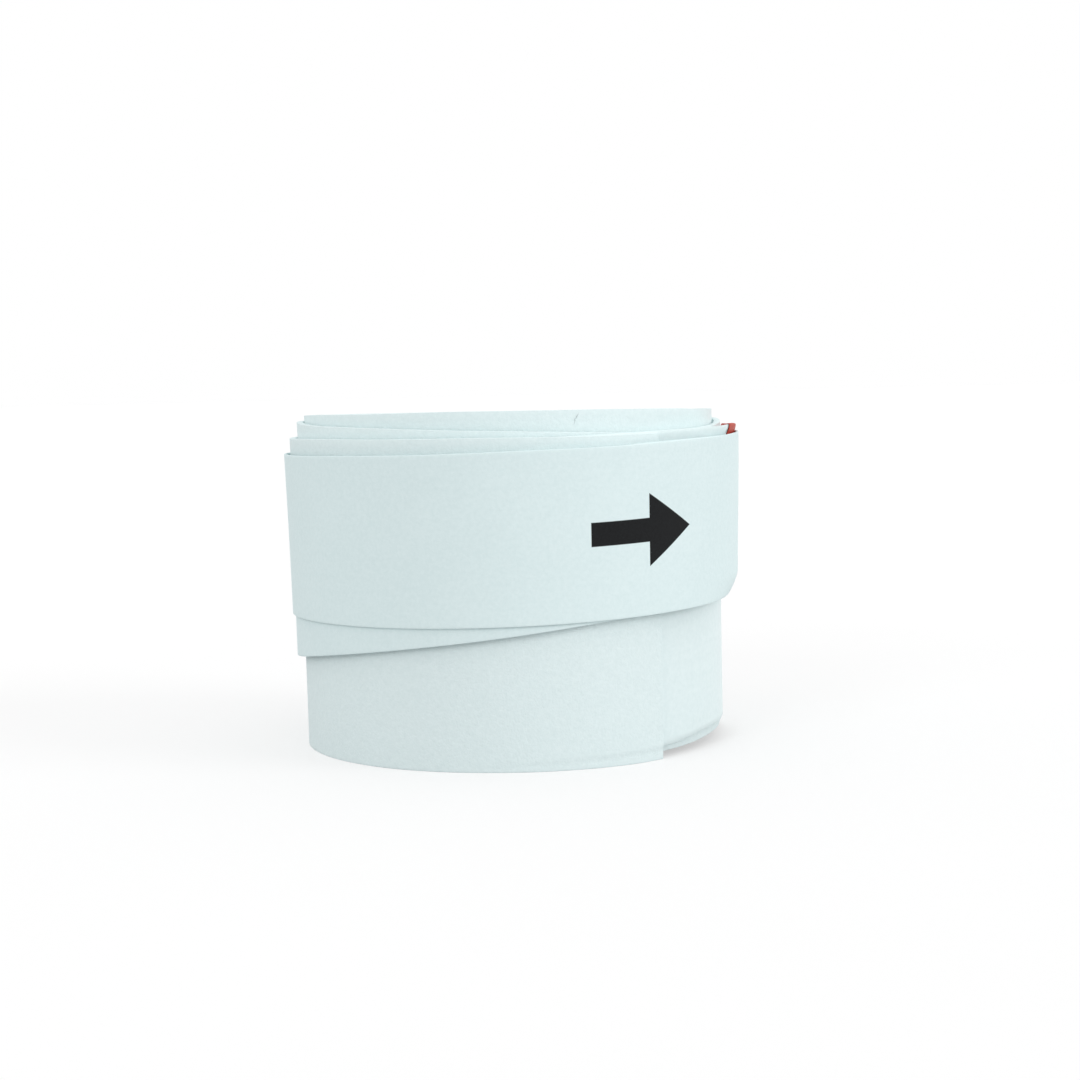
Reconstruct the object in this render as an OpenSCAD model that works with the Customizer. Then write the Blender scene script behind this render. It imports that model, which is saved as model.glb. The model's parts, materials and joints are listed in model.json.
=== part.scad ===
// Racket grip tape roll: a soft overgrip strip wound up with its release film,
// held shut by a narrower finishing tape whose free end peels back.
// Millimetres, +Z up along the axis of the roll, which stands on z = 0.
// Angles are counted from +X, anticlockwise from above, and grow along each winding.

/* [Grip strip] */
// Width the strip is cut to
strip_w = 27.5; // [20:0.5:40]
// Thickness of the strip
strip_t = 0.5; // [0.4:0.05:0.8]
// Turns of strip in the roll
turns = 12; // [6:1:16]
// Radius of the hollow core
core_r = 7.1; // [5:0.1:14]
// Direction in which the outer end of the strip is cut off
strip_end_angle = 311; // [285:1:335]
// Depth to which the standing edge is pressed flat
foot_cut = 0.5; // [0.2:0.1:0.8]
// Bevel along both upper edges of the strip
edge_bevel = 0.12; // [0.05:0.01:0.18]
// How far the roll opens out at its upper left
flare = 0.5; // [0:0.1:1.5]
// Length of the tapered start in the core
taper_len = 60; // [30:1:90]
// Width left at the tip of the taper
taper_tip_w = 6; // [5.5:0.5:15]

/* [Release film] */
// Thickness of the film on the inner face of the strip
film_t = 0.1; // [0.05:0.01:0.2]
// Strip left bare below the film
film_low_inset = 0.9; // [0.2:0.1:1.5]
// Strip left bare above the film
film_high_inset = 0.4; // [0.2:0.1:1.5]
// Length of film that runs on past the cut end of the strip
film_overhang = 20; // [12:0.5:30]
// How far the free end of the film has slid up
film_slip = 0.7; // [0:0.1:1.2]

/* [Pull tab] */
// Length of the folded tab on the free end of the film
tab_len = 8.5; // [4:0.5:10]
// Height of each leg of the tab below the edge of the film
tab_leg = 4; // [2:0.5:12]
// Thickness of the tab
tab_t = 0.1; // [0.05:0.01:0.15]
// Height of the fold above the edge of the film
tab_rise = 0.55; // [0.3:0.05:1]
// How far the fold bulges out past the film, over the edge of the tape
tab_bulge = 1; // [0.4:0.05:1]

/* [Starter patch] */
// Length of the adhesive patch behind the tip
patch_len = 16; // [8:1:25]
// Height of the patch
patch_w = 4; // [3:0.5:6]
// Bare strip below the patch and ahead of it
patch_margin = 1; // [0.5:0.1:2]
// Thickness of the adhesive
adhesive_t = 0.1; // [0.05:0.01:0.2]
// Thickness of the paper over the adhesive
liner_t = 0.08; // [0.05:0.01:0.2]

/* [Finishing tape] */
// Width of the tape
tape_w = 14; // [8:0.5:18]
// Thickness of the tape
tape_t = 0.2; // [0.1:0.05:0.4]
// Room between the two turns of the tape
tape_gap = 0.42; // [0.41:0.01:0.6]
// Direction in which the tape starts on the roll
tape_start_angle = 130; // [100:1:170]
// Angle that the tape goes round
tape_sweep_angle = 665; // [640:1:690]
// Length of each peeling piece of the free end
flap_len = 4.5; // [3:0.1:6]
// Slit between one peeling piece and the next
flap_slit = 0.3; // [0.2:0.05:0.5]

/* [Clearances] */
// Room between layers that lie on each other
layer_clear = 0.04; // [0.03:0.01:0.08]
// Room between the cut end of the strip and the tape over it
tape_clear = 0.1; // [0.05:0.01:0.3]

/* [Hidden] */

flap_count = 4;
rings_per_turn = 32;
ring_step = 360 / rings_per_turn;

// The strip and all that lies between two of its turns
turn_gap = film_t + adhesive_t + liner_t + 4 * layer_clear;
pitch = strip_t + turn_gap;
strip_start_angle = strip_end_angle - 360 * turns;
roll_r = core_r + strip_t + pitch * turns;
roll_top = strip_w - foot_cut;

// How far the outer turns stand above the last one: [turns before the cut end, height]
outer_proud = [
  [0, 0], [0.4, 0], [0.62, 0.3], [0.78, 0.8], [0.85, 0.9], [0.91, 0.4], [0.95, 0.22], [1, 0.12],
  [1.06, 0.25], [1.12, 0.5], [1.195, 0.79], [1.263, 1.07], [1.364, 1.4], [1.5, 1.45],
  [1.614, 1.42], [1.8, 1.6]
];
// The turns further in stand together as a plug, higher towards the front and the left
plug_proud = 1.81;
plug_lean_front = 0.335;
plug_lean_left = 0.08;
plug_from = 1.75;
plug_whole = 1.9;
// The film has slid up along this share of a turn before its free end
slip_turns = 0.45;

// The finishing tape, and how far its upper edge lies below the top of the roll: [angle gone round, depth]
tape_pitch = tape_t + tape_gap;
tape_end_angle = tape_start_angle + tape_sweep_angle;
tape_depth = [
  [0, 6.9], [50, 5.3], [67, 4.9], [166, 1.05], [230, 0.8], [320, 1.1], [410, 1.42],
  [470, 1.28], [500, 1.1], [530, 0.9], [560, 0.65], [590, 0.5], [665, 0.5]
];

// Angle under an arc of the given length
function arc_angle(length, r) = length / r * 180 / PI;

// Angles of the rings from one end of a winding to the other, the same ones in every turn
function ring_angles(from, to) = concat(
  [from],
  [for (k = [ceil(from / ring_step + 0.3) : floor(to / ring_step - 0.3)]) k * ring_step],
  [to]
);

// Radius of the strip's outer face, the film's and the tape's
function strip_r(a) = roll_r - pitch * (strip_end_angle - a) / 360;
function film_r(a) = strip_r(a) - strip_t - layer_clear;
function tape_r(a) = roll_r + tape_clear + tape_t + tape_pitch * (a - strip_end_angle) / 360;

// Where the free end of the film lies, and where the tab on it begins
film_end_angle = strip_end_angle + arc_angle(film_overhang, film_r(strip_end_angle));
tab_start_angle = film_end_angle - arc_angle(tab_len, film_r(film_end_angle));

// Heights of the strip: how far a turn stands proud, its lower edge, its width and its upper edge
function smooth(x) = let (s = min(1, max(0, x))) s * s * (3 - 2 * s);
function turns_left(a) = (strip_end_angle - a) / 360;
function plug_height(a) =
  plug_proud - (plug_lean_front * sin(a) + plug_lean_left * cos(a)) * strip_r(a) / roll_r;
function proud(a) =
  let (
    t = turns_left(a),
    in_plug = smooth((t - plug_from) / (plug_whole - plug_from))
  )
  (1 - in_plug) * lookup(t, outer_proud) + in_plug * plug_height(a);
function edge_z(a) = proud(a) - foot_cut;
function from_tip(a) = (a - strip_start_angle) * PI / 180 * (strip_r(a) + strip_r(strip_start_angle)) / 2;
function strip_width(a) = min(strip_w, taper_tip_w + (strip_w - taper_tip_w) * from_tip(a) / taper_len);
function strip_top(a) = edge_z(a) + strip_width(a);
function slip(a) = film_slip * smooth(1 - (film_end_angle - a) / 360 / slip_turns);
function film_low(a) = edge_z(a) + film_low_inset + slip(a);
function film_top(a) = strip_top(a) - film_high_inset + slip(a);
function tape_top(a) = roll_top - lookup(a - tape_start_angle, tape_depth);

// A point on a winding: the roll opens out to the left, the more so further up
function spread(a, z) = flare * pow(z / roll_top, 2) * max(0, -cos(a));
function wound_point(a, r, z) = [r * cos(a) - spread(a, z), r * sin(a), z];

// Middle of the box round the tape, which goes to the origin
flap_angle = arc_angle(flap_len, tape_r(tape_end_angle));
tape_fixed_angle = tape_end_angle - flap_count * flap_angle;
function joint_angle(i) = tape_fixed_angle + (i - 1) * flap_angle;
tape_rim = [
  for (a = ring_angles(tape_end_angle - 360, tape_fixed_angle))
    wound_point(a, tape_r(a), tape_top(a))
];
tape_xs = [for (p = tape_rim) p[0]];
tape_ys = [for (p = tape_rim) p[1]];
centre = [(max(tape_xs) + min(tape_xs)) / 2, (max(tape_ys) + min(tape_ys)) / 2, 0];
function place(a, r, z) = wound_point(a, r, z) - centre;

// Least room from each turn to the next, measured on the points of their faces
function flat_distance(p, q) = norm([p[0] - q[0], p[1] - q[1]]);
strip_room = min([
  for (a = ring_angles(strip_start_angle, strip_end_angle - 360))
    flat_distance(place(a, strip_r(a), 0), place(a + 360, strip_r(a + 360) - strip_t, 0))
]);
tape_room = min([
  for (a = ring_angles(tape_start_angle, tape_end_angle - 360))
    flat_distance(place(a, tape_r(a), 0), place(a + 360, tape_r(a + 360) - tape_t, 0))
]);
echo(least_gap_between_strip_turns = strip_room, least_gap_between_tape_turns = tape_room);
echo(
  strip_length = from_tip(strip_end_angle),
  tape_length = tape_sweep_angle * PI / 180 * tape_r(tape_start_angle + tape_sweep_angle / 2),
  flap_axes = [for (i = [1 : flap_count]) place(joint_angle(i), tape_r(joint_angle(i)), 0)]
);

// A ribbon between two rows of points per ring, given from one edge to the other.
// outer and inner hold one list per ring, and both ends are closed.
module ribbon(outer, inner) {
  rings = len(outer);
  row = len(outer[0]);
  back = rings * row;
  last = rings - 1;
  quads = concat(
    [for (i = [0 : last - 1], j = [0 : row - 2])
      [i * row + j, i * row + j + 1, (i + 1) * row + j + 1, (i + 1) * row + j]],
    [for (i = [0 : last - 1], j = [0 : row - 2])
      [back + i * row + j, back + (i + 1) * row + j, back + (i + 1) * row + j + 1, back + i * row + j + 1]],
    [for (i = [0 : last - 1]) let (j = row - 1)
      [i * row + j, back + i * row + j, back + (i + 1) * row + j, (i + 1) * row + j]],
    [for (i = [0 : last - 1])
      [i * row, (i + 1) * row, back + (i + 1) * row, back + i * row]],
    [for (j = [0 : row - 2])
      [j, back + j, back + j + 1, j + 1]],
    [for (j = [0 : row - 2]) let (i = last * row)
      [i + j, i + j + 1, back + i + j + 1, back + i + j]]
  );
  polyhedron(
    points = concat(
      [for (ring = outer, p = ring) p],
      [for (ring = inner, p = ring) p]
    ),
    faces = [for (q = quads, f = [[q[0], q[1], q[2]], [q[0], q[2], q[3]]]) f]
  );
}

// A plain strip along the winding, between two heights and one thickness deep
module layer(angles, radii, thickness, lows, highs) {
  count = len(angles) - 1;
  ribbon(
    [for (i = [0 : count]) [for (z = [lows[i], highs[i]]) place(angles[i], radii[i], z)]],
    [for (i = [0 : count]) [for (z = [lows[i], highs[i]]) place(angles[i], radii[i] - thickness, z)]]
  );
}

// The strip: its lower edge is cut flat where it stands, its upper edges are bevelled
module grip_strip() {
  angles = ring_angles(strip_start_angle, strip_end_angle);
  color([0.86, 0.92, 0.92])
    ribbon(
      [for (a = angles) [
        place(a, strip_r(a), max(0, edge_z(a))),
        place(a, strip_r(a), strip_top(a) - edge_bevel),
        place(a, strip_r(a) - edge_bevel, strip_top(a))
      ]],
      [for (a = angles) [
        place(a, strip_r(a) - strip_t, max(0, edge_z(a))),
        place(a, strip_r(a) - strip_t, strip_top(a) - edge_bevel),
        place(a, strip_r(a) - strip_t + edge_bevel, strip_top(a))
      ]]
    );
}

// The film on the inner face of the strip, which runs on past its cut end.
// Under the tab it has the same rings as the tab, so that both bend at the same places.
module release_film() {
  under_tab = ring_angles(tab_start_angle, film_end_angle);
  angles = concat(
    ring_angles(strip_start_angle, tab_start_angle),
    [for (i = [1 : len(under_tab) - 1]) under_tab[i]]
  );
  color([0.93, 0.96, 0.96])
    layer(
      angles,
      [for (a = angles) film_r(a)],
      film_t,
      [for (a = angles) film_low(a)],
      [for (a = angles) film_top(a)]
    );
}

// Middle line of the folded tab: [out from the film's outer face, up from its upper edge]
tab_inner = -film_t - layer_clear - tab_t / 2;
tab_outer = layer_clear + tab_t / 2;
tab_line = [
  [tab_inner, -tab_leg],
  [tab_inner, layer_clear],
  [0, 0.65 * tab_rise],
  [0.45 * tab_bulge, tab_rise],
  [0.85 * tab_bulge, 0.85 * tab_rise],
  [tab_bulge, 0.3 * tab_rise],
  [0.93 * tab_bulge, -0.4 * tab_rise],
  [0.5 * tab_bulge, -1.3 * tab_rise],
  [tab_outer + tab_t / 2, -min(2.4 * tab_rise, 0.75 * tab_leg)],
  [tab_outer, -tab_leg]
];
function tab_side(j, d) =
  let (
    last = len(tab_line) - 1,
    along = tab_line[min(last, j + 1)] - tab_line[max(0, j - 1)]
  )
  tab_line[j] + d * [along[1], -along[0]] / norm(along);
module film_pull_tab() {
  angles = ring_angles(tab_start_angle, film_end_angle);
  color([0.78, 0.12, 0.1])
    ribbon(
      [for (a = angles) [for (j = [0 : len(tab_line) - 1]) let (p = tab_side(j, tab_t / 2))
        place(a, film_r(a) + p[0], film_top(a) + p[1])]],
      [for (a = angles) [for (j = [0 : len(tab_line) - 1]) let (p = tab_side(j, -tab_t / 2))
        place(a, film_r(a) + p[0], film_top(a) + p[1])]]
    );
}

// The starter patch on the outer face of the tapered tip: adhesive, then its paper
module starter_layer(out, thickness) {
  from = strip_start_angle + arc_angle(patch_margin, strip_r(strip_start_angle));
  angles = ring_angles(from, from + arc_angle(patch_len, strip_r(strip_start_angle)));
  layer(
    angles,
    [for (a = angles) strip_r(a) + out + thickness],
    thickness,
    [for (a = angles) max(0, edge_z(a)) + patch_margin],
    [for (a = angles) max(0, edge_z(a)) + patch_margin + patch_w]
  );
}
module starter_adhesive() {
  color([0.85, 0.83, 0.72]) starter_layer(layer_clear, adhesive_t);
}
module starter_liner() {
  color([0.94, 0.92, 0.86]) starter_layer(2 * layer_clear + adhesive_t, liner_t);
}

// A stretch of the finishing tape
module tape_stretch(angles) {
  color([0.88, 0.94, 0.94])
    layer(
      angles,
      [for (a = angles) tape_r(a)],
      tape_t,
      [for (a = angles) tape_top(a) - tape_w],
      [for (a = angles) tape_top(a)]
    );
}
half_slit = arc_angle(flap_slit / 2, tape_r(tape_end_angle));
module finishing_tape() {
  tape_stretch(ring_angles(tape_start_angle, tape_fixed_angle - half_slit));
}

// The free end of the tape bends outwards about the slits, on its outer face
module tape_flap(i) {
  from = joint_angle(i) + half_slit;
  to = joint_angle(i + 1) - (i < flap_count ? half_slit : 0);
  tape_stretch([from, (from + to) / 2, to]);
}

grip_strip();
release_film();
film_pull_tab();
starter_adhesive();
starter_liner();
finishing_tape();
for (i = [1 : flap_count])
  tape_flap(i);
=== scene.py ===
"""Looks of a grip tape roll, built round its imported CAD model.

The strip, the film and the tape are cut flat, wound along the spiral of the CAD model and then
given their thickness. Metres, +Z up along the axis of the roll, which stands on z = 0. Angles are
counted from +X, anticlockwise from above, and grow along each winding.
"""

import json
import math

import bpy
import numpy as np
from bpy.props import FloatProperty, FloatVectorProperty, IntProperty, PointerProperty
from mathutils import Matrix, Vector


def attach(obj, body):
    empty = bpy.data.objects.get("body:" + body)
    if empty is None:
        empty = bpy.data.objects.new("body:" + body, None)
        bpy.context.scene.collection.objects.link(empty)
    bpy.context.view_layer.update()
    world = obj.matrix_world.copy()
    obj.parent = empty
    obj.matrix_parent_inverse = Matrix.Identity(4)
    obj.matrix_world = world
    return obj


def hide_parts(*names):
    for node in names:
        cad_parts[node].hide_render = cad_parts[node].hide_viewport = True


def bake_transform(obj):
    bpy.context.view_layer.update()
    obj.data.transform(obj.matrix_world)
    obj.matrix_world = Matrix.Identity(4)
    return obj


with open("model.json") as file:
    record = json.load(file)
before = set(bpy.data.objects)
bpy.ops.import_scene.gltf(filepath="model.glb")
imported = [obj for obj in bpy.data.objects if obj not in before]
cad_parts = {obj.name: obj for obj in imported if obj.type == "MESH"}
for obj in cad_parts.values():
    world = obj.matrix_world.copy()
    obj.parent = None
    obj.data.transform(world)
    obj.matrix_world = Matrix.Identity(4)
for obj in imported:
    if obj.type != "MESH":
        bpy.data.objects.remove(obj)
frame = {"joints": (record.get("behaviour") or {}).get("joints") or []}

bl_info = {
    "name": "Grip tape roll",
    "version": (1, 0, 0),
    "blender": (4, 5, 0),
    "location": "View3D > Sidebar > Grip roll",
    "description": "Winds a grip strip, its film and its finishing tape round the CAD frame",
    "category": "Object",
}

TAU = 2 * math.pi
MM = 0.001
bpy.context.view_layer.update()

# How far the outer turns stand above the last one: (turns before the cut end, height in mm)
OUTER_PROUD = (
    (0, 0), (0.4, 0), (0.62, 0.3), (0.78, 0.8), (0.85, 0.9), (0.91, 0.4), (0.95, 0.22), (1, 0.12),
    (1.06, 0.25), (1.12, 0.5), (1.195, 0.79), (1.263, 1.07), (1.364, 1.4), (1.5, 1.45),
    (1.614, 1.42), (1.8, 1.6),
)
# How far the tape's upper edge lies below the top of the last turn: (degrees gone round, mm)
TAPE_DEPTH = (
    (0, 6.9), (50, 5.3), (67, 4.9), (160, 1.1), (170, 0.8), (185, 0.58), (200, 0.44), (213, 0.46),
    (235, 0.85), (260, 0.95), (320, 1.1), (410, 1.42), (470, 1.28), (500, 1.1), (530, 0.82),
    (560, 0.44), (590, 0.24), (620, 0.34), (665, 0.5),
)
# How far the inner turn of tape stands off towards the outer one: (degrees, mm)
TAPE_LIFT = ((130, 0), (178, 0.37), (365, 0.37), (385, 0.3), (436, 0.3), (492, 0))
# How far the top of the strip curls outwards, on the left and on the right: (turns left, mm)
CURL_LEFT = ((0, 0.4), (0.364, 0.42), (1.364, 0.65), (2.364, 0.92), (3.364, 1), (9, 0.3), (12, 0))
CURL_RIGHT = ((0.4, 0), (0.864, 0.42), (1.864, 0.62), (2.864, 0.62), (8, 0.25), (12, 0))
# How far the lower edge is tucked up beside the cut end: (turns left, mm)
TUCK = ((0.8, 0), (0.86, 1), (0.92, 0.9), (0.96, 0.6), (0.99, 0.5), (1.04, 0.35), (1.1, 0))
# How far the tape's lower edge leans in on the right, first its inner turn: (degrees, mm)
TAPE_LEAN = (
    (322, 0), (347, 0.9), (367, 0.9), (400, 0), (688, 0), (708, 0.68), (722, 0.68), (756, 0),
)
# Thickness of the soft strip, whose inner turns fill the room that they have: (turns left, mm)
WALL = ((1.85, 0.57), (2.25, 0.68), (4, 0.8), (9, 0.8), (10.1, 0.57))
# Where each leg of the pull tab has its rows of points: shares of its height, from the fold down
LEG_ROWS = (0, 0.05, 0.1, 0.15, 0.2, 0.25, 0.3, 0.36, 0.45, 0.6, 0.8, 1)

# Height of the plug of inner turns, and how much lower it is at the back and right, in mm
PLUG_RISE, PLUG_DROP_BACK, PLUG_DROP_RIGHT = 1.81, 0.335, 0.08
# Turns before the cut end at which the plug begins, and over which it rises
PLUG_FROM, PLUG_OVER = 1.75, 0.15
# Share of the height at which the curl of the rims starts, and over which it grows
CURL_FROM, CURL_OVER = 0.63, 0.33
# How much thinner the strip is pressed at its cut end, and the angle over which it thins out
PRESSED_DEPTH, PRESSED_ANGLE = 0.2 * MM, math.radians(9)
# How deep the film's lower edge shows through the last turn, how softly, and over which angle
PRINT_DEPTH, PRINT_SOFT, PRINT_ANGLE = 0.07 * MM, 0.3 * MM, math.radians(75)
# Unevenness of the strip's face, of its upper edge and of the tape's upper edge
STRIP_RIPPLE, STRIP_WAVE, TAPE_WAVE = 0.02 * MM, 0.04 * MM, 0.03 * MM
# Thickness of the film as it is drawn, its edge radius, and its distance in from the strip
FILM_WALL, FILM_ROUND, FILM_SINK = 0.05 * MM, 0.012 * MM, 0.03 * MM
# Height that the film's lower edge keeps above the floor
FILM_LOWEST = 0.2 * MM
# Turns over which the film slides up, and the angle past the cut end over which it comes free
SLIP_TURNS, FREE_ANGLE = 0.45, math.radians(25)
# How far the free end's lower edge is pulled up, and its upper edge sags over which angle
FILM_PULLED, FILM_SAG, SAG_ANGLE = 0.45 * MM, 0.3 * MM, math.radians(24)
# The free end's bulge: (share, depth at which it starts, depth over which it grows, in mm)
FILM_BULGES = ((0.7, 6, 4.5), (0.25, 1.3, 1.5))
# Angle over which the bulge grows, and how many such angles ahead of the tab it starts
BULGE_ANGLE, BULGE_LEAD = math.radians(30), 1.3
# How far the film's end settles back lower down in mm, and over which angle
SETTLE_IN, SETTLE_ANGLE = 0.27, math.radians(28)
# Depth below the film's edge at which it starts to settle, and over which it does, in mm
SETTLE_FROM, SETTLE_OVER = 3, 4
# Room that the tape leaves the film, and the height above the tape over which its hold ends
HOLD_ROOM, HOLD_FADE = 0.17 * MM, 0.5 * MM
# Place of the tab's inner and outer leg, out from the film's face
LEG_IN, LEG_OUT = -0.13 * MM, 0.06 * MM
# Share of its room that each layer of the starter patch fills
STARTER_FILL = 0.8
# Edge radius of the tab and of the starter patch, and of the tape
THIN_ROUND, TAPE_ROUND = 0.015 * MM, 0.06 * MM
# Angle at which the tape's inner turn passes into its outer one, in degrees
INNER_TURN_END = 490
# Height of the tape's leaning lower edge, on its inner and its outer turn
LEAN_INNER, LEAN_OUTER = 2.6 * MM, 1.8 * MM
# How far the tape's upper edge flares on the right in mm, and over how many degrees that ends
TAPE_FLARE, FLARE_FADE = 0.25, 50
# Where the flare has ended, on the inner and the outer turn, in degrees
FLARE_END_INNER, FLARE_END_OUTER = 400, 760
# How much flatter the free end is between its hinges: four times its depth there, in mm
FLAP_FLATTER = 0.2
# How far the free end's first piece starts ahead of its hinge, and how far each bend reaches
FLAP_ROOT, BEND_REACH = 3 * MM, 0.8 * MM
# Steps of a share of the thickness, and most corners of a face that is no closed end
SHARE_STEPS, MOST_CORNERS = 500, 8
# The crease: angle before the cut end, two turns in, and depth of its middle below the edge
CREASE_ANGLE, CREASE_BELOW = math.radians(20.5), 0.75 * MM
# Half the crease's width, its reach up and down, how it leans and how far it wanders
CREASE_HALF, CREASE_REACH, CREASE_LEAN, CREASE_WANDER = 0.05 * MM, 0.3 * MM, -0.45, 0.5 * MM
# Width over which the print's edge fades
INK_EDGE = 0.05 * MM
# Where the two soft lamps hang, in metres, and how many degrees wide they look
KEY_PLACE, KEY_SPREAD = (0.85, -0.3, 0.3), 30
FILL_PLACE, FILL_SPREAD = (-0.35, -0.6, 0.35), 25
# Radius of the floor in metres, and width of the camera's sensor in millimetres
FLOOR_RADIUS, SENSOR = 6, 36


def length(name, description, default):
    """A length in metres."""
    return FloatProperty(
        name=name, description=description, default=default, min=0.0, precision=5, unit="LENGTH"
    )


def angle(name, description, degrees):
    """An angle, given in degrees and kept in radians."""
    return FloatProperty(
        name=name, description=description, default=math.radians(degrees), unit="ROTATION"
    )


def colour(name, description, default):
    """A linear colour."""
    return FloatVectorProperty(
        name=name, description=description, default=default, min=0.0, max=1.0, subtype="COLOR"
    )


def number(name, description, default):
    """A plain number."""
    return FloatProperty(name=name, description=description, default=default, min=0.0)


class StripSizes(bpy.types.PropertyGroup):
    """Sizes of the grip strip and of the roll that it makes."""

    width: length("Width", "Width the strip is cut to", 27.5 * MM)
    thickness: length("Thickness", "Thickness of the strip", 0.5 * MM)
    plump: length("Plump", "How far the soft outer face swells past the cut thickness", 0.05 * MM)
    turns: IntProperty(name="Turns", description="Turns of strip in the roll", default=12, min=3)
    core_radius: length("Core radius", "Radius of the hollow core", 7.1 * MM)
    cut_end: angle("Cut end", "Direction in which the outer end is cut off", 311)
    foot_cut: length("Foot cut", "Depth to which the standing edge is pressed flat", 0.5 * MM)
    edge_round: length("Edge round", "Radius along the edges of the strip", 0.15 * MM)
    flare: length("Flare", "How far the roll opens out at its upper left", 0.5 * MM)
    taper_length: length("Taper", "Length of the tapered start in the core", 60 * MM)
    tip_width: length("Tip", "Width left at the tip of the taper", 6 * MM)


class FilmSizes(bpy.types.PropertyGroup):
    """Sizes of the release film and of the pull tab on its free end."""

    thickness: length("Thickness", "Room that the film takes in the winding", 0.1 * MM)
    low_inset: length("Low inset", "Strip left bare below the film", 0.9 * MM)
    high_inset: length("High inset", "Strip left bare above the film", 0.4 * MM)
    overhang: length("Overhang", "Film that runs on past the strip's cut end", 20 * MM)
    slip: length("Slip", "How far the free end of the film has slid up", 0.9 * MM)
    tab_length: length("Tab length", "Length of the folded tab", 10.2 * MM)
    tab_leg: length("Tab leg", "Height of each leg of the tab", 4 * MM)
    tab_thickness: length("Tab thickness", "Thickness of the tab", 0.05 * MM)
    tab_rise: length("Tab rise", "Height of the fold above the film", 0.055 * MM)
    tab_bulge: length("Tab bulge", "How far the top of the free end bulges out", 1 * MM)


class StarterSizes(bpy.types.PropertyGroup):
    """Sizes of the adhesive patch on the tapered tip and of its paper."""

    length: length("Length", "Length of the patch", 16 * MM)
    width: length("Width", "Height of the patch", 4 * MM)
    margin: length("Margin", "Bare strip round the patch", 1 * MM)
    adhesive: length("Adhesive", "Thickness of the adhesive", 0.1 * MM)
    liner: length("Liner", "Thickness of the paper over the adhesive", 0.08 * MM)


class TapeSizes(bpy.types.PropertyGroup):
    """Sizes of the finishing tape and of its free end."""

    width: length("Width", "Width of the tape", 14 * MM)
    thickness: length("Thickness", "Thickness of the tape", 0.2 * MM)
    gap: length("Gap", "Room between its two turns", 0.42 * MM)
    clear: length("Clearance", "Room between the strip's cut end and the tape", 0.1 * MM)
    start: angle("Start", "Direction in which the tape starts", 130)
    sweep: angle("Sweep", "Angle that the tape goes round", 665)
    flap_length: length("Flap length", "Length of each peeling piece of the free end", 4.5 * MM)
    arrow_length: length("Arrow length", "Length of the printed arrow", 10 * MM)
    arrow_head: length("Arrow head", "Length of the arrow's head", 4.6 * MM)
    arrow_width: length("Arrow width", "Width of the arrow's head", 6 * MM)
    arrow_shaft: length("Arrow shaft", "Width of the arrow's shaft", 2 * MM)
    arrow_spacing: length("Arrow spacing", "From one printed arrow to the next", 62 * MM)
    arrow_place: length("Arrow place", "From the start of the tape to the first arrow", 56 * MM)


class RollColours(bpy.types.PropertyGroup):
    """Colours of the pieces."""

    strip: colour("Strip", "Lit face of the strip", (0.8, 0.91, 0.918))
    strip_shade: colour("Strip shade", "Darker mottling of the strip", (0.75, 0.865, 0.873))
    film: colour("Film", "Release film", (0.805, 0.915, 0.923))
    film_shade: colour("Film shade", "Mottling of the release film", (0.765, 0.88, 0.888))
    tape: colour("Tape", "Finishing tape", (0.775, 0.9, 0.91))
    tape_shade: colour("Tape shade", "Mottling of the finishing tape", (0.735, 0.865, 0.875))
    ink: colour("Ink", "Print on the finishing tape", (0.006, 0.006, 0.007))
    tab: colour("Tab", "Pull tab", (0.6, 0.085, 0.045))
    # The tab shade is painted shade, laid into the creases of the pull tab
    tab_shade: colour("Tab shade", "Creases of the pull tab", (0.38, 0.05, 0.04))
    adhesive: colour("Adhesive", "Starter adhesive", (0.7, 0.66, 0.5))
    liner: colour("Liner", "Paper over the adhesive", (0.86, 0.82, 0.72))
    floor: colour("Floor", "Floor under the roll", (0.5, 0.5, 0.5))


class StageSettings(bpy.types.PropertyGroup):
    """Camera and light."""

    lens: number("Lens", "Focal length in millimetres on a 36 mm sensor", 68.5)
    distance: length("Distance", "From the camera to the middle of the view", 183.42 * MM)
    elevation: angle("Elevation", "Height of the camera above the horizon", 4.33)
    roll: angle("Roll", "Turn of the picture", -1.28)
    right: length("Right", "Shift of the camera to the right", 2.303 * MM)
    up: length("Up", "Shift of the camera upwards", 3.648 * MM)
    aim_height: length("Aim height", "Height of the middle of the view", 13.757 * MM)
    sky: number("Sky", "Strength of the light from all round", 0.93)
    key: number("Key", "Strength of the soft lamp at the right", 0.8)
    fill: number("Fill", "Strength of the soft lamp at the front left", 0.37)
    floor_glow: number("Floor glow", "Light that the floor adds where it is seen directly", 0.47)


class RollSettings(bpy.types.PropertyGroup):
    """All that a user would change on the roll."""

    layer_clear: length("Layer clearance", "Room between layers that lie on each other", 0.04 * MM)
    strip: PointerProperty(type=StripSizes)
    film: PointerProperty(type=FilmSizes)
    starter: PointerProperty(type=StarterSizes)
    tape: PointerProperty(type=TapeSizes)
    colours: PointerProperty(type=RollColours)
    stage: PointerProperty(type=StageSettings)


def settings():
    """What the user has set on the roll."""
    return bpy.context.scene.grip_roll


# The winding


def smooth(x):
    """0 before 0, 1 after 1, and a soft step between."""
    s = np.clip(x, 0, 1)
    return s * s * (3 - 2 * s)


def through(points, x, soft):
    """The line through the points at x, with its corners rounded over about soft either way."""
    xs, ys = zip(*points)
    steps = np.linspace(-soft, soft, 9)
    return np.mean([np.interp(x + d, xs, ys) for d in steps], axis=0)


class Spiral:
    """A winding whose radius grows evenly from start."""

    def __init__(self, start, radius, rise):
        self.start, self.first_radius, self.rise = start, radius, rise

    def radius(self, a):
        return self.first_radius + self.rise * (a - self.start)

    def length(self, a):
        """Length from the start to the angle a."""
        return (a - self.start) * (self.radius(a) + self.first_radius) / 2

    def angle(self, s):
        """Angle that lies s along the winding."""
        first = self.first_radius
        return self.start + (np.sqrt(first * first + 2 * self.rise * s) - first) / self.rise


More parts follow.
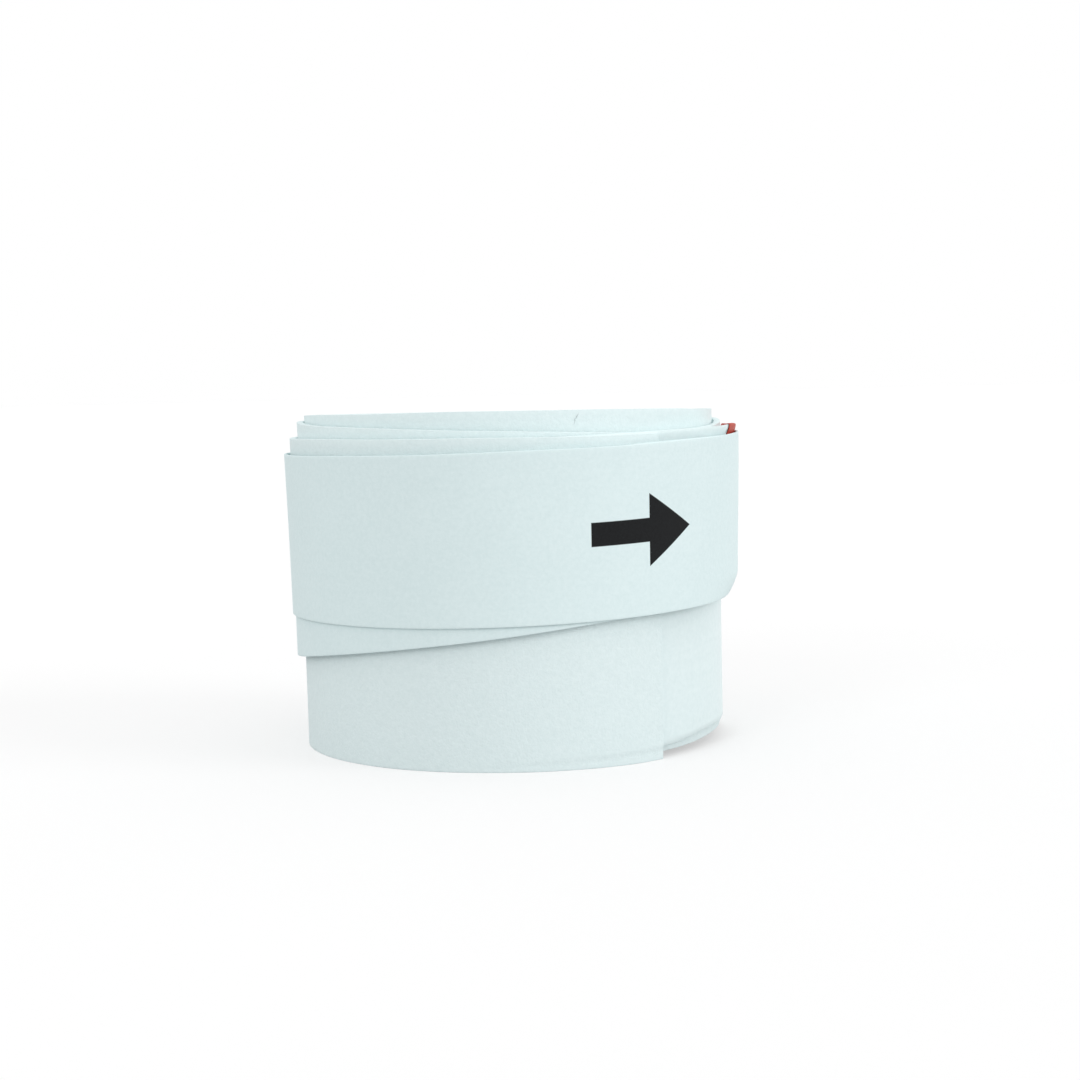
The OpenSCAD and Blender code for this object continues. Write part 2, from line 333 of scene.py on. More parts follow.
class Winding:
    """Where every layer of the roll runs, worked out from the sizes as in the CAD source."""

    def __init__(self, sizes):
        strip, film, starter, tape = sizes.strip, sizes.film, sizes.starter, sizes.tape
        self.strip, self.film, self.tape = strip, film, tape
        room = film.thickness + starter.adhesive + starter.liner + 4 * sizes.layer_clear
        pitch = strip.thickness + room
        strip_start = strip.cut_end - TAU * strip.turns
        self.top = strip.width - strip.foot_cut
        self.taper_lost = (strip.width - strip.tip_width) * strip.taper_length / 2
        self.strip_line = Spiral(strip_start, strip.core_radius + strip.thickness, pitch / TAU)
        self.film_drop = strip.thickness + sizes.layer_clear
        self.film_end = strip.cut_end + film.overhang / self.film_radius(strip.cut_end)
        self.tab_start = self.film_end - film.tab_length / self.film_radius(self.film_end)
        tape_rise = (tape.thickness + tape.gap) / TAU
        tape_first = self.strip_line.radius(strip.cut_end) + tape.clear + tape.thickness
        tape_first += tape_rise * (tape.start - strip.cut_end)
        self.tape_line = Spiral(tape.start, tape_first, tape_rise)
        self.tape_end = tape.start + tape.sweep
        hinges = frame["joints"]
        self.flap_angle = tape.flap_length / self.tape_line.radius(self.tape_end)
        self.hinge_angles = [self.tape_end - self.flap_angle * n for n in range(len(hinges), 0, -1)]
        first = self.hinge_angles[0]
        out = Vector((math.cos(first), math.sin(first), 0))
        hinge = Vector(hinges[0]["pos_m"])
        self.axis = hinge - out * self.tape_line.radius(first)

    def film_radius(self, a):
        """Radius of the film's outer face in the CAD model."""
        return self.strip_line.radius(a) - self.film_drop

    def turns_left(self, a):
        """Turns of strip from the angle a to the cut end."""
        return (self.strip.cut_end - a) / TAU

    def wall(self, a):
        """Thickness of the soft strip."""
        return through(WALL, self.turns_left(a), 0.05) * MM

    def pressed(self, a):
        """How much thinner the strip is where its cut end is pressed down."""
        return PRESSED_DEPTH * smooth((a - self.strip.cut_end) / PRESSED_ANGLE + 1)

    def curl(self, a, z):
        """How far the top of the strip leans out on the left and on the right."""
        left = through(CURL_LEFT, self.turns_left(a), 0.05) * np.maximum(0, -np.cos(a)) ** 1.5
        right = through(CURL_RIGHT, self.turns_left(a), 0.05) * np.maximum(0, np.cos(a)) ** 1.5
        return (left + right) * MM * smooth((z / self.top - CURL_FROM) / CURL_OVER)

    def lower_edge(self, a):
        """Height of the strip's lower edge before it is pressed flat."""
        turns_left = self.turns_left(a)
        outer = through(OUTER_PROUD, turns_left, 0.02)
        tilt = self.strip_line.radius(a) / self.strip_line.radius(self.strip.cut_end)
        plug = PLUG_RISE - (PLUG_DROP_BACK * np.sin(a) + PLUG_DROP_RIGHT * np.cos(a)) * tilt
        in_plug = smooth((turns_left - PLUG_FROM) / PLUG_OVER)
        return ((1 - in_plug) * outer + in_plug * plug) * MM - self.strip.foot_cut

    def strip_width(self, a):
        strip = self.strip
        grown = (strip.width - strip.tip_width) * self.strip_line.length(a) / strip.taper_length
        return np.minimum(strip.width, strip.tip_width + grown)

    def film_slip(self, a):
        return self.film.slip * smooth(1 - (self.film_end - a) / TAU / SLIP_TURNS)

    def film_face(self, a, z):
        """Radius of the film's outer face.

        Its free end rides on the turn below and bulges out at the top."""
        past = smooth((a - self.strip.cut_end) / FREE_ANGLE)
        lean = (1 - past) * self.curl(a, z) + past * self.curl(a - TAU, z)
        below_top = (self.film_top(a) - z) / MM
        bulge = sum(share * smooth((depth - below_top) / over) for share, depth, over in FILM_BULGES)
        bulge *= self.film.tab_bulge * smooth((a - self.tab_start) / BULGE_ANGLE + BULGE_LEAD)
        settled = SETTLE_IN * smooth((a - self.film_end) / SETTLE_ANGLE + 1)
        settled = settled * smooth((below_top - SETTLE_FROM) / SETTLE_OVER)
        r = self.strip_line.radius(a) + self.strip.plump - self.wall(a) - FILM_SINK
        r = r + lean + (bulge - settled * MM)
        # Past the cut end both turns of tape hold it in, each up to its own upper edge
        for turn in (a, a + TAU):
            above_tape = z - self.tape_top(turn)
            across = np.clip(above_tape + self.tape.width, 0, self.tape.width)
            room = self.tape_radius(turn, across) - self.tape.thickness - HOLD_ROOM
            held = smooth(1 - above_tape / HOLD_FADE) * (a > self.strip.cut_end)
            r = r - held * np.maximum(0, r - room)
        return r

    def film_low(self, a):
        pulled = FILM_PULLED * smooth((a - self.strip.cut_end) / FREE_ANGLE)
        return self.lower_edge(a) + self.film.low_inset + self.film_slip(a) + pulled

    def film_top(self, a):
        top = self.lower_edge(a) + self.strip_width(a)
        bare = 1 - 0.75 * smooth((self.turns_left(a) - 1.8) / 0.2)
        sag = FILM_SAG * smooth((a - self.tab_start) / SAG_ANGLE)
        return top - self.film.high_inset * bare + self.film_slip(a) - sag

    def tape_top(self, a):
        gone = np.degrees(a - self.tape.start)
        return self.top - through(TAPE_DEPTH, gone, 9) * MM

    def tape_radius(self, a, across):
        """Radius of the tape's outer face, across from its lower edge.

        The inner turn hugs the outer one. On the right the lower edge leans in, the upper one out."""
        degrees = np.degrees(a)
        inner = degrees < INNER_TURN_END
        low = 1 - across / np.where(inner, LEAN_INNER, LEAN_OUTER)
        high = smooth(across / self.tape.width)
        lean = through(TAPE_LEAN, degrees, 4) * np.maximum(0, low) ** 1.5
        to_flap = np.where(inner, FLARE_END_INNER, FLARE_END_OUTER) - degrees
        flare = TAPE_FLARE * high * np.maximum(0, np.cos(a)) ** 2 * smooth(to_flap / FLARE_FADE)
        # The free end is a little flatter between its hinges, to peel with less of a ripple
        pieces = np.maximum(0, (a - self.hinge_angles[0]) / self.flap_angle) % 1
        flat = FLAP_FLATTER * pieces * (1 - pieces)
        lift = through(TAPE_LIFT, degrees, 8)
        return self.tape_line.radius(a) + (lift - lean + flare - flat) * MM

    def place(self, a, r, z):
        """Points at an angle, radius and height. The roll opens out to the left, most at the top."""
        spread = self.strip.flare * (z / self.top) ** 2 * np.maximum(0, -np.cos(a))
        x = self.axis.x + r * np.cos(a) - spread
        y = self.axis.y + r * np.sin(a)
        return np.stack(np.broadcast_arrays(x, y, z), axis=-1)


# Sheets


def cut_flat(name, long, rows, steps):
    """A flat sheet made from a grid, long in X, with its rows at the given heights in Y.

    Its UV map holds each point's place on the flat sheet, in metres."""
    bpy.ops.object.select_all(action="DESELECT")
    bpy.ops.mesh.primitive_grid_add(x_subdivisions=steps, y_subdivisions=len(rows) - 1, size=1)
    sheet = bpy.context.object
    sheet.name = sheet.data.name = name
    bpy.ops.object.mode_set(mode="EDIT")
    bpy.ops.transform.resize(value=(long, len(rows) - 1, 1), center_override=(0, 0, 0))
    bpy.ops.transform.translate(value=(long / 2, (len(rows) - 1) / 2, 0))
    bpy.ops.object.mode_set(mode="OBJECT")
    flat = points_of(sheet)
    flat[:, 1] = np.array(rows)[np.round(flat[:, 1]).astype(int)]
    move_points(sheet, flat)
    corners = np.zeros(len(sheet.data.loops), np.int32)
    sheet.data.loops.foreach_get("vertex_index", corners)
    sheet.data.uv_layers[0].name = "flat_cut"
    sheet.data.uv_layers[0].uv.foreach_set("vector", flat[corners, :2].astype(np.float32).ravel())
    return sheet


def points_of(piece):
    """Places of a piece's points."""
    points = np.zeros(len(piece.data.vertices) * 3, np.float32)
    piece.data.vertices.foreach_get("co", points)
    return points.reshape(-1, 3).astype(float)


def move_points(piece, points):
    """Puts a piece's points at new places."""
    piece.data.vertices.foreach_set("co", points.astype(np.float32).ravel())
    piece.data.update()


def wind(sheet, route):
    """Moves each point of a flat sheet to where route(along, across) puts it."""
    flat = points_of(sheet)
    move_points(sheet, route(flat[:, 0], flat[:, 1]))


def select_only(piece):
    """Makes a piece the only one selected, and the active one."""
    bpy.ops.object.select_all(action="DESELECT")
    piece.select_set(True)
    bpy.context.view_layer.objects.active = piece


def apply_modifiers(piece):
    """Makes what the modifiers do part of the mesh."""
    select_only(piece)
    for modifier in list(piece.modifiers):
        bpy.ops.object.modifier_apply(modifier=modifier.name)


def thicken(sheet, thickness, edge_round, segments=3, shares=None):
    """Gives a wound sheet its thickness, inwards from its outer face, and rounds its edges.

    shares, where given, holds the share of the thickness that each point gets."""
    wall = sheet.modifiers.new("Thickness", "SOLIDIFY")
    wall.thickness = thickness
    wall.offset = -1
    if shares is not None:
        group = sheet.vertex_groups.new(name="thickness")
        steps = np.round(shares * SHARE_STEPS).astype(int)
        for step in np.unique(steps):
            group.add(np.flatnonzero(steps == step).tolist(), step / SHARE_STEPS, "REPLACE")
        wall.vertex_group = group.name
    edge = sheet.modifiers.new("Edge", "BEVEL")
    edge.width = edge_round
    edge.segments = segments
    edge.limit_method = "ANGLE"
    edge.angle_limit = math.radians(60)
    sheet.modifiers.new("Shading", "WEIGHTED_NORMAL").keep_sharp = False
    select_only(sheet)
    bpy.ops.object.shade_smooth()
    apply_modifiers(sheet)


def note_shading(piece):
    """Notes the normal at every corner, so that it can be put back after cuts."""
    mesh = piece.data
    normals = np.zeros(len(mesh.loops) * 3, np.float32)
    mesh.corner_normals.foreach_get("vector", normals)
    noted = mesh.attributes.new("noted_normal", "FLOAT_VECTOR", "CORNER")
    noted.data.foreach_set("vector", normals)


def restore_shading(piece):
    """Puts the noted normals back, and gives the closed ends their own flat ones."""
    mesh = piece.data
    noted = mesh.attributes["noted_normal"]
    normals = np.zeros(len(mesh.loops) * 3, np.float32)
    noted.data.foreach_get("vector", normals)
    normals = normals.reshape(-1, 3)
    for face in mesh.polygons:
        if face.loop_total > MOST_CORNERS:
            normals[face.loop_start : face.loop_start + face.loop_total] = face.normal
    mesh.attributes.remove(noted)
    mesh.normals_split_custom_set(normals.tolist())


def dress(piece, material, body, slot, *nodes):
    """Gives a piece its finish and the body that it rides on, and hides the CAD nodes that it stands
    for.
    """
    piece.data.materials.clear()
    piece.data.materials.append(material)
    if body:
        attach(piece, body)
    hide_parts(*nodes)


# Materials


def add_node(tree, kind, inputs=(), **values):
    """A shader node with its settings, and its inputs set or linked."""
    made = tree.nodes.new(kind)
    for key, value in values.items():
        setattr(made, key, value)
    for key, value in dict(inputs).items():
        if isinstance(value, bpy.types.NodeSocket):
            tree.links.new(value, made.inputs[key])
        else:
            made.inputs[key].default_value = value
    return made


def maths(tree, operation, *values, clamp=False):
    """A sum, product or other step worked out in the shader."""
    made = add_node(
        tree, "ShaderNodeMath", enumerate(values), operation=operation, use_clamp=clamp
    )
    return made.outputs[0]


def between(tree, factor, low, high):
    """A number that goes from low to high as factor goes from 0 to 1."""
    made = add_node(tree, "ShaderNodeMapRange", {"Value": factor, "To Min": low, "To Max": high})
    return made.outputs["Result"]


def mixed(tree, factor, first, second):
    """A colour between two colours, each one fixed or from a node."""
    ends = (c if isinstance(c, bpy.types.NodeSocket) else (*c, 1) for c in (first, second))
    inputs = zip((0, 6, 7), (factor, *ends))
    return add_node(tree, "ShaderNodeMix", inputs, data_type="RGBA").outputs[2]


def grain(tree, vector, size, detail=3.0, roughness=0.55):
    """Noise whose blotches are about size across, from 0 to 1."""
    made = add_node(
        tree,
        "ShaderNodeTexNoise",
        {"Vector": vector, "Scale": 1 / size, "Detail": detail, "Roughness": roughness},
    )
    return made.outputs[0]


def stretched(tree, vector, *scale):
    """Coordinates pulled out along the axes."""
    return add_node(tree, "ShaderNodeMapping", {"Vector": vector, "Scale": scale}).outputs[0]


def start_material(name, **sockets):
    """A new material: its node tree, its shader and its object and flat coordinates."""
    material = bpy.data.materials.new(name)
    material.use_nodes = True
    tree = material.node_tree
    shader = tree.nodes["Principled BSDF"]
    for key, value in sockets.items():
        shader.inputs[key.replace("_", " ")].default_value = value
    coordinates = tree.nodes.new("ShaderNodeTexCoord")
    return material, tree, shader, coordinates.outputs["Object"], coordinates.outputs["UV"]


def coat(tree, shader, base, rough):
    """Links a colour and a roughness to the shader."""
    tree.links.new(base, shader.inputs["Base Color"])
    tree.links.new(rough, shader.inputs["Roughness"])


def roughen(tree, shader, height, strength, depth):
    """Gives a finish a relief of the given depth."""
    bump = add_node(
        tree, "ShaderNodeBump", {"Height": height, "Strength": strength, "Distance": depth}
    )
    tree.links.new(bump.outputs["Normal"], shader.inputs["Normal"])


def soft_strip():
    """Matte foamed strip with a fine leathery grain, a faint mottling and painted shade in a crease
    below the rim.
    """
    colours = settings().colours
    material, tree, shader, place, flat = start_material(
        "soft_white_strip", Sheen_Weight=0.12, Sheen_Roughness=0.5, Specular_IOR_Level=0.25
    )
    blotches = grain(tree, place, 6 * MM, 2.0)
    felt = grain(tree, place, 0.38 * MM, 3.0, 0.6)
    fine = grain(tree, place, 0.2 * MM, 2.0)
    tone = maths(tree, "MULTIPLY_ADD", felt, 0.85, maths(tree, "MULTIPLY", blotches, 0.15))
    colour_now = mixed(tree, between(tree, tone, -0.8, 1.8), colours.strip, colours.strip_shade)
    crease_and_shade = rim_crease(tree, flat, felt)
    # Painted shade: the crease is drawn in a darker colour, standing in for the shade that falls in
    # it
    darker = tuple(0.72 * c for c in colours.strip_shade)
    colour_now = mixed(tree, crease_and_shade, colour_now, darker)
    coat(tree, shader, colour_now, between(tree, felt, 0.7, 0.9))
    relief = maths(tree, "MULTIPLY_ADD", fine, 0.6, maths(tree, "MULTIPLY", felt, 0.4))
    relief = maths(tree, "SUBTRACT", relief, crease_and_shade)
    roughen(tree, shader, relief, 0.7, 0.06 * MM)
    return material


def rim_crease(tree, flat, felt):
    """1 in the short cracked crease below the upper edge of the inner turns, and 0 beside it. The
    strip paints shade into the crease and sinks its relief there.
    """
    sizes = settings()
    line = Winding(sizes).strip_line
    along = line.length(sizes.strip.cut_end - CREASE_ANGLE - 2 * TAU) - CREASE_WANDER / 2
    split = add_node(tree, "ShaderNodeSeparateXYZ", {0: flat})
    up = maths(tree, "SUBTRACT", split.outputs["Y"], sizes.strip.width - CREASE_BELOW)
    aside = maths(tree, "SUBTRACT", split.outputs["X"], along)
    aside = maths(tree, "MULTIPLY_ADD", up, CREASE_LEAN, aside)
    aside = maths(tree, "ABSOLUTE", maths(tree, "MULTIPLY_ADD", felt, CREASE_WANDER, aside))
    across = maths(tree, "MULTIPLY_ADD", aside, -1 / CREASE_HALF, 1.1, clamp=True)
    off_middle = maths(tree, "ABSOLUTE", up)
    ends = maths(tree, "MULTIPLY_ADD", off_middle, -1 / CREASE_REACH, 1.8, clamp=True)
    return maths(tree, "MULTIPLY", across, ends)


def satin_film():
    """Thin satin film with faint streaks along it."""
    colours = settings().colours
    material, tree, shader, place, flat = start_material(
        "satin_release_film", Specular_IOR_Level=0.3
    )
    streaks = grain(tree, stretched(tree, flat, 1, 30, 1), 20 * MM, 3.0)
    haze = grain(tree, place, 0.38 * MM, 3.0)
    tone = maths(tree, "MULTIPLY_ADD", streaks, 0.2, maths(tree, "MULTIPLY", haze, 0.8))
    colour_now = mixed(tree, between(tree, tone, -1.2, 2.2), colours.film, colours.film_shade)
    coat(tree, shader, colour_now, between(tree, haze, 0.38, 0.55))
    roughen(tree, shader, haze, 0.2, 0.03 * MM)
    return material


def satin_tab():
    """Satin red film with painted shade in its creases, which also give it its relief."""
    colours = settings().colours
    material, tree, shader, place, flat = start_material("red_pull_tab", Specular_IOR_Level=0.15)
    creases_and_shade = grain(tree, stretched(tree, flat, 4, 1, 1), 3 * MM, 3.0)
    haze = grain(tree, place, 0.3 * MM, 2.0)
    # Painted shade: the creases are drawn in the darker tab shade
    colour_now = mixed(tree, creases_and_shade, colours.tab, colours.tab_shade)
    coat(tree, shader, colour_now, between(tree, haze, 0.45, 0.6))
    roughen(tree, shader, creases_and_shade, 0.2, 0.05 * MM)
    return material


def starter_layer(name, base, low, high):
    """Tacky adhesive or waxed paper: a tinted layer with a fibrous mottling."""
    material, tree, shader, place, _ = start_material(name)
    fibres = grain(tree, stretched(tree, place, 1, 1, 3), 1.5 * MM, 4.0, 0.7)
    darker = tuple(0.85 * c for c in base)
    coat(tree, shader, mixed(tree, fibres, base, darker), between(tree, fibres, low, high))
    roughen(tree, shader, fibres, 0.2, 0.03 * MM)
    return material


def arrow_print(tree, flat):
    """1 in the printed arrows, which point along the tape to its free end, and 0 beside them."""
    tape = settings().tape
    split = add_node(tree, "ShaderNodeSeparateXYZ", {0: flat})
    half = tape.arrow_spacing / 2
    along = maths(tree, "SUBTRACT", split.outputs["X"], tape.arrow_place)
    along = maths(tree, "WRAP", along, half, -half)
    aside = maths(tree, "ABSOLUTE", maths(tree, "SUBTRACT", split.outputs["Y"], tape.width / 2))
    from_tip = maths(tree, "SUBTRACT", tape.arrow_length / 2, along)
    head = maths(tree, "MULTIPLY", from_tip, tape.arrow_width / 2 / tape.arrow_head)
    in_shaft = maths(tree, "GREATER_THAN", from_tip, tape.arrow_head)
    to_shaft = maths(tree, "SUBTRACT", tape.arrow_shaft / 2, head)
    reach = maths(tree, "MULTIPLY_ADD", in_shaft, to_shaft, head)
    inside = maths(tree, "SUBTRACT", reach, aside)
    inside = maths(tree, "MINIMUM", inside, maths(tree, "SUBTRACT", tape.arrow_length, from_tip))
    return maths(tree, "MULTIPLY", inside, 1 / INK_EDGE, clamp=True)


def printed_tape():
    """Smooth matte tape with faint drawn lines along it and printed arrows."""
    colours = settings().colours
    material, tree, shader, place, flat = start_material(
        "printed_finishing_tape", Specular_IOR_Level=0.15
    )
    blotches = grain(tree, place, 5 * MM, 2.0)
    felt = grain(tree, place, 0.33 * MM, 3.0, 0.6)
    drawn = grain(tree, stretched(tree, flat, 1, 14, 1), 9 * MM, 3.0)
    fine = grain(tree, place, 0.22 * MM, 2.0)
    tone = maths(tree, "MULTIPLY_ADD", drawn, 0.1, maths(tree, "MULTIPLY", blotches, 0.2))
    tone = maths(tree, "MULTIPLY_ADD", felt, 0.7, tone)
    bare = mixed(tree, between(tree, tone, -1.5, 2.5), colours.tape, colours.tape_shade)
    ink = arrow_print(tree, flat)
    worn = maths(tree, "MULTIPLY", ink, between(tree, fine, 1.0, 0.985), clamp=True)
    rough = maths(tree, "MULTIPLY_ADD", ink, 0.2, between(tree, fine, 0.5, 0.68))
    coat(tree, shader, mixed(tree, worn, bare, colours.ink), rough)
    relief = maths(tree, "MULTIPLY_ADD", fine, 0.65, maths(tree, "MULTIPLY", drawn, 0.35))
    roughen(tree, shader, relief, 0.3, 0.05 * MM)
    return material


def seen_directly(tree):
    """1 for rays from the camera and for those that a shiny or clear piece sends on, else 0."""
    path = tree.nodes.new("ShaderNodeLightPath")
    seen = maths(
        tree, "ADD", path.outputs["Is Camera Ray"], path.outputs["Is Glossy Ray"], clamp=True
    )
    return maths(tree, "ADD", seen, path.outputs["Is Transmission Ray"], clamp=True)


def pale_floor():
    """Matte floor that looks near white where nothing shades it."""
    material, tree, shader, place, _ = start_material("pale_floor", Specular_IOR_Level=0.1)
    base = settings().colours.floor
    darker = tuple(0.97 * c for c in base)
    soft = grain(tree, place, 60 * MM, 2.0)
    coat(tree, shader, mixed(tree, soft, base, darker), between(tree, soft, 0.8, 0.9))
    glow = maths(tree, "MULTIPLY", seen_directly(tree), settings().stage.floor_glow)
    shader.inputs["Emission Color"].default_value = (1, 1, 1, 1)
    tree.links.new(glow, shader.inputs["Emission Strength"])
    return material


# Pieces


def rows_between(*stretches):
    """Shares of a height from 0 to 1: each stretch is (its end, how many rows it has)."""
    rows, low = [0.0], 0.0
    for high, count in stretches:
        rows += [low + (high - low) * (n + 1) / count for n in range(count)]
        low = high
    return rows


class GRIPROLL_OT_strip(bpy.types.Operator):
    """Cut the grip strip flat and wind it up"""

    bl_idname = "griproll.strip"
    bl_label = "Wind grip strip"

    def execute(self, context):
        sizes = settings()
        strip = sizes.strip
        winding = Winding(sizes)
        line = winding.strip_line
        long = line.length(strip.cut_end)
        rows = rows_between((0.06, 8), (0.12, 3), (0.92, 7), (1.0, 4))
        sheet = cut_flat("wound_grip_strip", long, [strip.width * n for n in rows], 1200)

        def route(along, across):
            a = line.angle(along)
            edge = winding.lower_edge(a)
            tuck = through(TUCK, winding.turns_left(a), 0.02) * MM
            low, top = np.maximum(0, edge) + tuck, edge + winding.strip_width(a)
            z = low + (top - low) * across / strip.width
            # The film's lower edge shows through the last turn near the cut end
            near_end = smooth(1 - (strip.cut_end - a) / PRINT_ANGLE)
            over_film = smooth((z - winding.film_low(a)) / PRINT_SOFT + 0.5)
            ripple = STRIP_RIPPLE * np.sin(7 * a + 1) * np.sin(across / strip.width * 3 + a)
            r = line.radius(a) + strip.plump + PRINT_DEPTH * near_end * (over_film - 1) + ripple
            r -= winding.pressed(a)
            wave = STRIP_WAVE * np.sin(5.3 * a) * np.sin(2.1 * a + 0.7) * (across / strip.width) ** 4
            return winding.place(a, r + winding.curl(a, z), z + wave)

        angles = line.angle(points_of(sheet)[:, 0])
        walls = winding.wall(angles) - winding.pressed(angles)
        wind(sheet, route)
        thicken(sheet, walls.max(), strip.edge_round, shares=walls / walls.max())
        dress(sheet, soft_strip(), "roll", "grip_strip", "grip_strip")
        return {"FINISHED"}


class GRIPROLL_OT_film(bpy.types.Operator):
    """Lay the release film on the inner face of the strip"""

    bl_idname = "griproll.film"
    bl_label = "Lay release film"

    def execute(self, context):
        sizes = settings()
        strip, film = sizes.strip, sizes.film
        winding = Winding(sizes)
        start = winding.strip_line.start
        line = Spiral(start, winding.film_radius(start), winding.strip_line.rise)
        long = line.length(winding.film_end)
        rows = rows_between((0.04, 2), (0.88, 6), (1.0, 10))
        width = strip.width - film.low_inset - film.high_inset
        sheet = cut_flat("laid_release_film", long, [width * n for n in rows], 1300)

        def route(along, across):
            a = line.angle(along)
            low, top = np.maximum(FILM_LOWEST, winding.film_low(a)), winding.film_top(a)
            z = low + (top - low) * across / width
            return winding.place(a, winding.film_face(a, z), z)

        wind(sheet, route)
        thicken(sheet, FILM_WALL, FILM_ROUND, 1)
        dress(sheet, satin_film(), "roll", "release_film", "release_film")
        return {"FINISHED"}


class GRIPROLL_OT_tab(bpy.types.Operator):
    """Fold the pull tab over the upper edge of the film's free end"""

    bl_idname = "griproll.tab"
    bl_label = "Fold pull tab"

    def execute(self, context):
        sizes = settings()
        film = sizes.film
        winding = Winding(sizes)
        leg, rise = film.tab_leg, film.tab_rise
        # From the inner leg over the fold to the outer one: (out from the film, up from its edge)
        fold = (
            *((LEG_IN, -down * leg) for down in reversed(LEG_ROWS)),
            (0.75 * LEG_IN, 0.75 * rise),
            ((LEG_IN + LEG_OUT) / 2, rise),
            (0.75 * LEG_OUT, 0.75 * rise),
            *((LEG_OUT, -down * leg) for down in LEG_ROWS),
        )
        outs, ups = zip(*fold)
        rows = list(range(len(fold)))
        sheet = cut_flat("folded_pull_tab", film.tab_length, [n * MM for n in rows], 14)

        def route(along, across):
            a = winding.tab_start + along / film.tab_length * (winding.film_end - winding.tab_start)
            out, up = np.interp(across / MM, rows, outs), np.interp(across / MM, rows, ups)
            top = winding.film_top(a)
            return winding.place(a, winding.film_face(a, top + np.minimum(0, up)) + out, top + up)

        wind(sheet, route)
        rounding = sheet.modifiers.new("Fold", "SUBSURF")
        rounding.levels = rounding.render_levels = 2
        thicken(sheet, film.tab_thickness, THIN_ROUND, 2)
        dress(sheet, satin_tab(), "roll", "pull_tab", "film_pull_tab")
        return {"FINISHED"}


class GRIPROLL_OT_starter(bpy.types.Operator):
    """Stick the starter adhesive and its paper on the tapered tip"""

    bl_idname = "griproll.starter"
    bl_label = "Stick starter patch"

    def execute(self, context):
        sizes = settings()
        starter, colours = sizes.starter, sizes.colours
        winding = Winding(sizes)
        line = winding.strip_line
        tacky = starter_layer("tacky_starter_adhesive", colours.adhesive, 0.3, 0.45)
        waxed = starter_layer("waxed_starter_paper", colours.liner, 0.45, 0.6)
        first = sizes.layer_clear + starter.adhesive
        second = first + sizes.layer_clear + starter.liner
        layers = (
            ("starter_adhesive_patch", tacky, "starter_adhesive", first, starter.adhesive),
            ("starter_liner_patch", waxed, "starter_liner", second, starter.liner),
        )
        rows = [starter.width * n for n in rows_between((0.1, 2), (0.9, 4), (1.0, 2))]
        start = line.start + starter.margin / line.first_radius
        for name, material, node, out, thickness in layers:
            sheet = cut_flat(name, starter.length, rows, 36)

            def route(along, across):
                a = start + along / line.first_radius
                low = np.maximum(0, winding.lower_edge(a)) + starter.margin
                return winding.place(a, line.radius(a) + out, low + across)

            wind(sheet, route)
            thicken(sheet, STARTER_FILL * thickness, THIN_ROUND, 1)
            dress(sheet, material, "roll", node, node)
        return {"FINISHED"}


class GRIPROLL_OT_tape(bpy.types.Operator):
    """Wrap the finishing tape round the roll and part its free end at the hinges"""

    bl_idname = "griproll.tape"
    bl_label = "Wrap finishing tape"

    def execute(self, context):
        sizes = settings()
        tape = sizes.tape
        winding = Winding(sizes)
        line = winding.tape_line
        long = line.length(winding.tape_end)
        rows = [tape.width * n for n in rows_between((0.14, 8), (0.94, 9), (1.0, 3))]
        sheet = cut_flat("wrapped_finishing_tape", long, rows, 460)

        def route(along, across):
            a = line.angle(along)
            top = winding.tape_top(a)
            wave = TAPE_WAVE * np.sin(6.1 * a + 0.4) * np.sin(2.7 * a) * (across / tape.width) ** 3
            r = winding.tape_radius(a, across)
            return winding.place(a, r, top - tape.width + across + wave)

        wind(sheet, route)
        thicken(sheet, tape.thickness, TAPE_ROUND)
        note_shading(sheet)
        material = printed_tape()
        hinges = [line.length(a) for a in winding.hinge_angles]
        cuts = [hinges[0] - FLAP_ROOT] + [s + tape.flap_length / 2 for s in hinges[:-1]]
        ends = []
        for n, cut in reversed(list(enumerate(cuts))):
            ends.append(self.part_off(sheet, cut, f"bent_tape_end_{n + 1}"))
        for piece in (sheet, *ends):
            restore_shading(piece)
        for n, end in enumerate(reversed(ends)):
            dress(end, material, None, "finishing_tape", f"tape_flap_{n + 1}")
            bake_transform(end)
        dress(sheet, material, "roll", "finishing_tape", "finishing_tape")
        return {"FINISHED"}

    @staticmethod
    def part_off(sheet, cut, name):
        """Makes what lies past cut along the flat tape a piece of its own, and closes both ends."""
        mesh = sheet.data
        flat = np.zeros(len(mesh.loops) * 2, np.float32)
        mesh.uv_layers["flat_cut"].uv.foreach_get("vector", flat)
        along = flat.reshape(-1, 2)[:, 0]
        starts = [p.loop_start for p in mesh.polygons]
        counts = [p.loop_total for p in mesh.polygons]
        past = (np.add.reduceat(along, starts) / counts > cut).tolist()
        select_only(sheet)
        bpy.context.tool_settings.mesh_select_mode = (False, False, True)
        bpy.ops.object.mode_set(mode="EDIT")
        bpy.ops.mesh.select_all(action="DESELECT")
        bpy.ops.object.mode_set(mode="OBJECT")
        mesh.polygons.foreach_set("select", past)
        bpy.ops.object.mode_set(mode="EDIT")
        bpy.ops.mesh.separate(type="SELECTED")
        bpy.ops.object.mode_set(mode="OBJECT")
        end = next(o for o in bpy.context.selected_objects if o != sheet)
        end.name = end.data.name = name
        for piece in (sheet, end):
            select_only(piece)
            bpy.ops.object.mode_set(mode="EDIT")
            bpy.ops.mesh.select_all(action="SELECT")
            bpy.ops.mesh.fill_holes(sides=0)
            bpy.ops.object.mode_set(mode="OBJECT")
        return end


